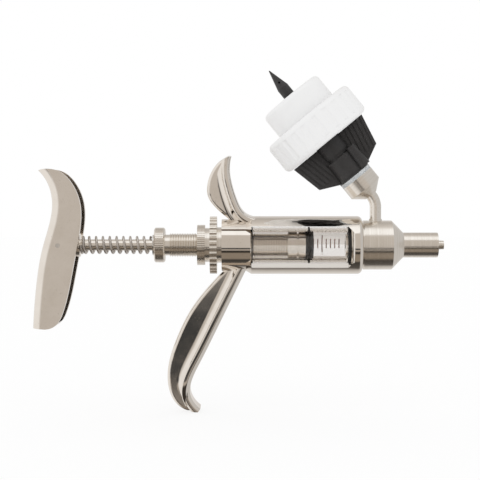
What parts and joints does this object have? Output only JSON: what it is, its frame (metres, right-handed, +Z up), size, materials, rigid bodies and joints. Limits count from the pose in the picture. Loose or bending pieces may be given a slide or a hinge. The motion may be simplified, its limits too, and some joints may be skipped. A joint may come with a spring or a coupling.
{
  "type": "automatic refilling dose syringe",
  "caption": "Hand-squeezed dosing syringe with finger hooks, palm handle, return spring and screw-set dose, refilled through a spiked bottle adapter on a bent side tube.",
  "frame": {"origin": "centre of the lock collar's mouth, on the barrel's axis", "axes": "+X along the barrel towards the needle, +Z up on the side of the bottle port, +Y away from the side that the picture shows"},
  "size_m": [0.1886, 0.0462, 0.1579],
  "materials": {
    "plated_casting": "polished nickel and chrome plate on a casting",
    "plated_turned": "polished plate on turned brass, fine turning lines",
    "spring_steel": "drawn wire",
    "valve_steel": "ground",
    "barrel_glass": "clear, with a printed scale",
    "black_rubber": "smooth",
    "black_plastic": "moulded, slight sheen",
    "white_plastic": "moulded, smooth",
    "clear_plastic": "translucent",
    "filter": "porous"
  },
  "bodies": {
    "frame": {"frame": "plated_casting", "glass_barrel": "barrel_glass", "front_gasket": "black_rubber", "rear_gasket": "black_rubber", "barrel_cap": "plated_turned", "valve_body": "plated_turned", "luer_lock_collar": "plated_turned", "needle_cone": "plated_turned", "outlet_spring": "spring_steel", "inlet_tube": "plated_turned", "port_cup": "plated_turned", "inlet_seat": "black_rubber", "inlet_spring": "spring_steel", "port_washer": "clear_plastic"},
    "outlet_valve": {"outlet_ball": "valve_steel"},
    "inlet_valve": {"inlet_ball": "valve_steel"},
    "adapter": {"spike_adapter": "black_plastic", "vent_plug": "filter"},
    "bottle_collar": {"bottle_collar": "white_plastic"},
    "lock_nut": {"lock_nut": "plated_turned"},
    "dose_carriage": {"spring_seat": "valve_steel", "return_spring": "spring_steel"},
    "dose_screw": {"dose_screw": "plated_turned"},
    "plunger": {"piston_rod": "plated_turned", "piston_body": "plated_turned", "piston_head": "black_rubber", "piston_o_ring": "black_rubber", "handle": "plated_casting", "handle_pin": "valve_steel"}
  },
  "joints": [
    {"name": "dose_slide", "type": "slide", "parent": "frame", "child": "dose_carriage", "axis": [1, 0, 0], "range_m": [-0.025, 0]},
    {"name": "dose_screw_turn", "type": "hinge", "parent": "dose_carriage", "child": "dose_screw", "pos_m": [-0.1, 0, 0], "axis": [1, 0, 0], "range_deg": [-7830, 0]},
    {"name": "plunger_slide", "type": "slide", "parent": "dose_carriage", "child": "plunger", "axis": [1, 0, 0], "range_m": [0, 0.0144], "stiffness_N_per_m": 250, "springref_m": -0.012, "deforming": ["return_spring"]},
    {"name": "lock_nut_turn", "type": "hinge", "parent": "frame", "child": "lock_nut", "pos_m": [-0.10875, 0, 0], "axis": [1, 0, 0], "range_deg": [-360, 0]},
    {"name": "outlet_valve_lift", "type": "slide", "parent": "frame", "child": "outlet_valve", "axis": [1, 0, 0], "range_m": [0, 0.0012], "stiffness_N_per_m": 50, "springref_m": -0.001, "deforming": ["outlet_spring"]},
    {"name": "inlet_valve_lift", "type": "slide", "parent": "frame", "child": "inlet_valve", "axis": [0.6361, 0, -0.7716], "range_m": [0, 0.001], "stiffness_N_per_m": 50, "springref_m": -0.001, "deforming": ["inlet_spring"]},
    {"name": "adapter_turn", "type": "hinge", "parent": "frame", "child": "adapter", "pos_m": [-0.0382, 0, 0.03227], "axis": [-0.6361, 0, 0.7716], "range_deg": [-180, 180]},
    {"name": "collar_pull", "type": "slide", "parent": "adapter", "child": "bottle_collar", "axis": [-0.6361, 0, 0.7716], "range_m": [0, 0.045]}
  ],
  "couplings": [
    {"joint": "dose_screw_turn", "follows": "dose_slide", "rad_per_m": 5463.6}
  ]
}
